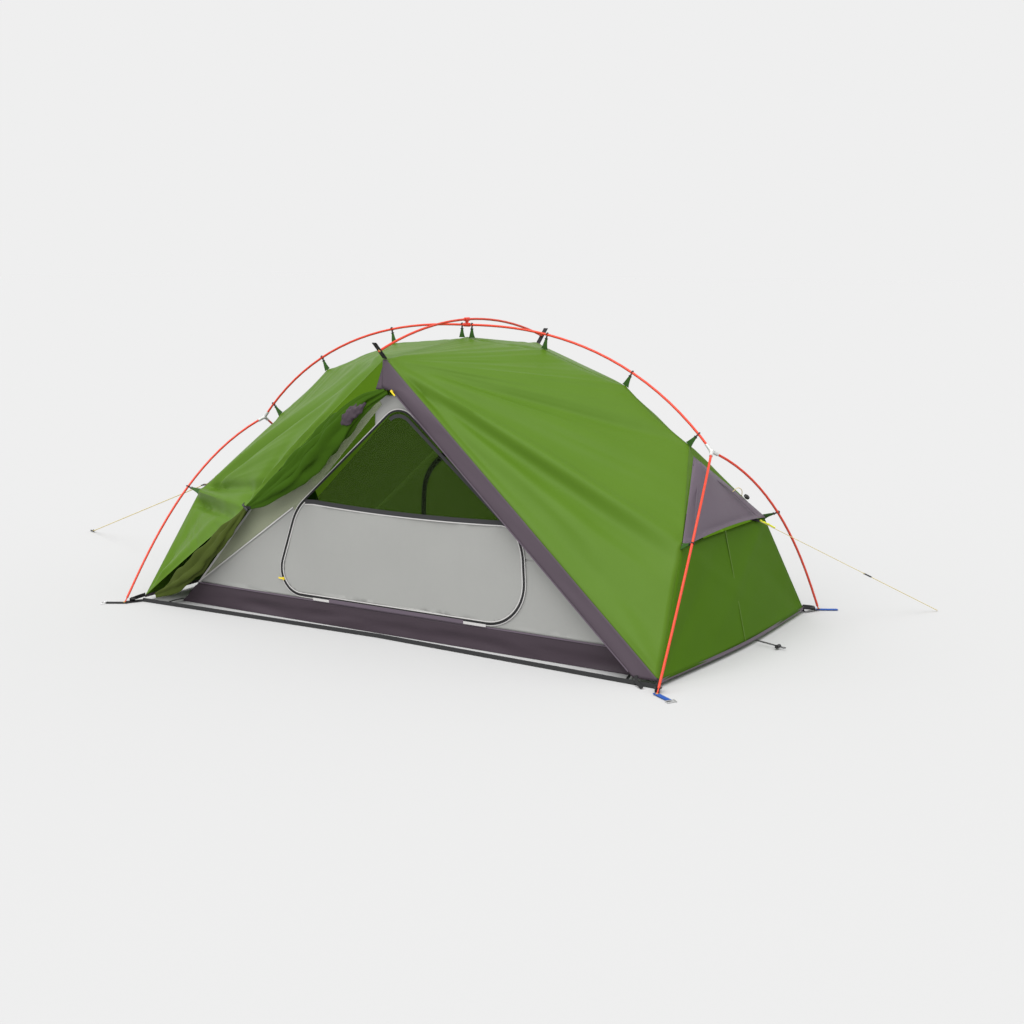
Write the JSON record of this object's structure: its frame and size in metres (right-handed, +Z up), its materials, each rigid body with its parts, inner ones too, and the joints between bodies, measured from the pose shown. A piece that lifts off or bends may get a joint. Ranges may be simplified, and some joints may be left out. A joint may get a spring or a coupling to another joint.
{
  "type": "two-person tent on an outside pole frame",
  "caption": "Pitched tent hung under an arched ridge pole with hubs, four legs and a short cross pole; open fly doorway, closed mesh-and-fabric inner door, guy lines.",
  "frame": {"origin": "on the ground at the middle of the tent, under the crossing of the poles", "axes": "+X along the ridge pole to the end with the elastic peg loop, -Y out of the open doorway, +Z up"},
  "size_m": [4.3149, 1.7597, 1.1935],
  "materials": {
    "pole": "anodised satin",
    "clip": "satin",
    "hub": "satin",
    "black_plastic": "satin",
    "fly_fabric": "coated ripstop",
    "trim_fabric": "coated weave",
    "floor_fabric": "coated weave",
    "inner_fabric": "plain weave and mesh",
    "webbing": "webbing",
    "zip": "painted",
    "guy_cord": "braided",
    "steel": "brushed"
  },
  "bodies": {
    "tent": {"apex_strap_back": "webbing", "apex_strap_front": "webbing", "base_strap_back": "webbing", "base_strap_front": "webbing", "end_peg_elastic": "webbing", "floor_tub": "floor_fabric", "fly_back": "fly_fabric", "fly_door_rolled": "fly_fabric", "fly_end_left": "fly_fabric", "fly_end_right": "fly_fabric", "fly_front_left": "fly_fabric", "fly_front_right": "fly_fabric", "guy_end_left": "black_plastic", "guy_line_left": "guy_cord", "guy_line_right": "guy_cord", "hub_left": "hub", "hub_right": "hub", "inner_canopy": "inner_fabric", "inner_front_wall": "inner_fabric", "leg_hook_back_left": "black_plastic", "leg_hook_back_right": "black_plastic", "leg_hook_front_left": "black_plastic", "leg_hook_front_right": "black_plastic", "ridge_hook_1": "black_plastic", "ridge_hook_2": "black_plastic", "ridge_hook_3": "black_plastic", "ridge_hook_4": "black_plastic", "ridge_hook_5": "black_plastic", "ridge_hook_6": "black_plastic", "ridge_hook_top_pair": "black_plastic", "ridge_pole_section_1": "pole", "ridge_pole_section_2": "pole", "ridge_pole_section_3": "pole", "ridge_pole_section_4": "pole", "storm_flap": "trim_fabric", "swivel_clip_base": "clip", "vent_hood_left": "trim_fabric", "vent_hood_right": "trim_fabric"},
    "cross_pole": {"cross_pole_front": "pole", "cross_pole_back": "pole", "swivel_clip_top": "clip"},
    "leg_front_left": {"leg_front_left_upper": "pole", "leg_front_left_lower": "pole"},
    "leg_front_right": {"leg_front_right_upper": "pole", "leg_front_right_lower": "pole"},
    "leg_back_left": {"leg_back_left_upper": "pole", "leg_back_left_lower": "pole"},
    "leg_back_right": {"leg_back_right_upper": "pole", "leg_back_right_lower": "pole"},
    "fly_zip_slider": {"fly_zip_slider": "zip"},
    "fly_zip_pull": {"fly_zip_pull": "zip"},
    "inner_door": {"inner_door": "inner_fabric"},
    "inner_zip_slider": {"inner_zip_slider": "zip"},
    "inner_zip_pull": {"inner_zip_pull": "zip"},
    "guy_runner_left": {"guy_runner_left": "black_plastic"},
    "guy_runner_right": {"guy_runner_right": "black_plastic"},
    "peg_ring_left": {"peg_ring_front_left": "steel"},
    "peg_ring_right": {"peg_ring_front_right": "steel"},
    "cord_lock": {"cord_lock": "black_plastic"},
    "cord_lock_button": {"cord_lock_button": "black_plastic"}
  },
  "joints": [
    {"name": "cross_pole_turn", "type": "hinge", "parent": "tent", "child": "cross_pole", "pos_m": [0, 0, 1.186], "axis": [0, 0, 1], "range_deg": [0, 84], "deforming": ["apex_strap_front", "apex_strap_back"]},
    {"name": "leg_front_left_swing", "type": "hinge", "parent": "tent", "child": "leg_front_left", "pos_m": [-1.10236, -0.03151, 0.71834], "axis": [-0.9422, 0.3351, 0], "range_deg": [0, 90], "deforming": ["leg_hook_front_left", "base_strap_front"]},
    {"name": "leg_front_right_swing", "type": "hinge", "parent": "tent", "child": "leg_front_right", "pos_m": [1.10236, -0.03151, 0.71834], "axis": [-0.9422, -0.3351, 0], "range_deg": [0, 90], "deforming": ["leg_hook_front_right"]},
    {"name": "leg_back_left_swing", "type": "hinge", "parent": "tent", "child": "leg_back_left", "pos_m": [-1.10236, 0.03151, 0.71834], "axis": [0.9422, 0.3351, 0], "range_deg": [0, 90], "deforming": ["leg_hook_back_left", "base_strap_back"]},
    {"name": "leg_back_right_swing", "type": "hinge", "parent": "tent", "child": "leg_back_right", "pos_m": [1.10236, 0.03151, 0.71834], "axis": [0.9422, -0.3351, 0], "range_deg": [0, 90], "deforming": ["leg_hook_back_right"]},
    {"name": "fly_zip_slide", "type": "slide", "parent": "tent", "child": "fly_zip_slider", "axis": [0.7584, -0.0593, -0.6491], "range_m": [0, 1.388]},
    {"name": "fly_zip_pull_turn", "type": "hinge", "parent": "fly_zip_slider", "child": "fly_zip_pull", "pos_m": [0.03999, -0.56381, 0.94093], "axis": [-0.6518, -0.069, -0.7552], "range_deg": [0, 150]},
    {"name": "inner_door_fold", "type": "hinge", "parent": "tent", "child": "inner_door", "pos_m": [0, -0.55752, 0.10825], "axis": [1, 0, 0], "range_deg": [0, 95]},
    {"name": "inner_zip_slide", "type": "hinge", "parent": "tent", "child": "inner_zip_slider", "pos_m": [-0.41756, -0.55342, 0.207], "axis": [0, -0.9995, 0.0313], "range_deg": [-20, 35]},
    {"name": "inner_zip_pull_turn", "type": "hinge", "parent": "inner_zip_slider", "child": "inner_zip_pull", "pos_m": [-0.51499, -0.56275, 0.16157], "axis": [0.0995, 0, 0.995], "range_deg": [0, 150]},
    {"name": "guy_runner_left_slide", "type": "slide", "parent": "tent", "child": "guy_runner_left", "axis": [-0.8806, 0.3832, -0.2788], "range_m": [0, 1.481]},
    {"name": "guy_runner_right_slide", "type": "slide", "parent": "tent", "child": "guy_runner_right", "axis": [0.5308, 0.7179, -0.4504], "range_m": [0, 0.31]},
    {"name": "peg_ring_left_turn", "type": "hinge", "parent": "tent", "child": "peg_ring_left", "pos_m": [-1.31754, -0.76493, 0.0036], "axis": [-0.5183, 0.8552, 0], "range_deg": [0, 150]},
    {"name": "peg_ring_right_turn", "type": "hinge", "parent": "tent", "child": "peg_ring_right", "pos_m": [1.31754, -0.76493, 0.0036], "axis": [-0.5183, -0.8552, 0], "range_deg": [0, 150]},
    {"name": "cord_lock_slide", "type": "slide", "parent": "tent", "child": "cord_lock", "axis": [-0.9874, 0.1399, 0.0739], "range_m": [0, 0.07]},
    {"name": "cord_lock_press", "type": "slide", "parent": "cord_lock", "child": "cord_lock_button", "axis": [0.1403, 0.9901, 0], "range_m": [0, 0.004], "stiffness_N_per_m": 700, "springref_m": -0.002}
  ]
}
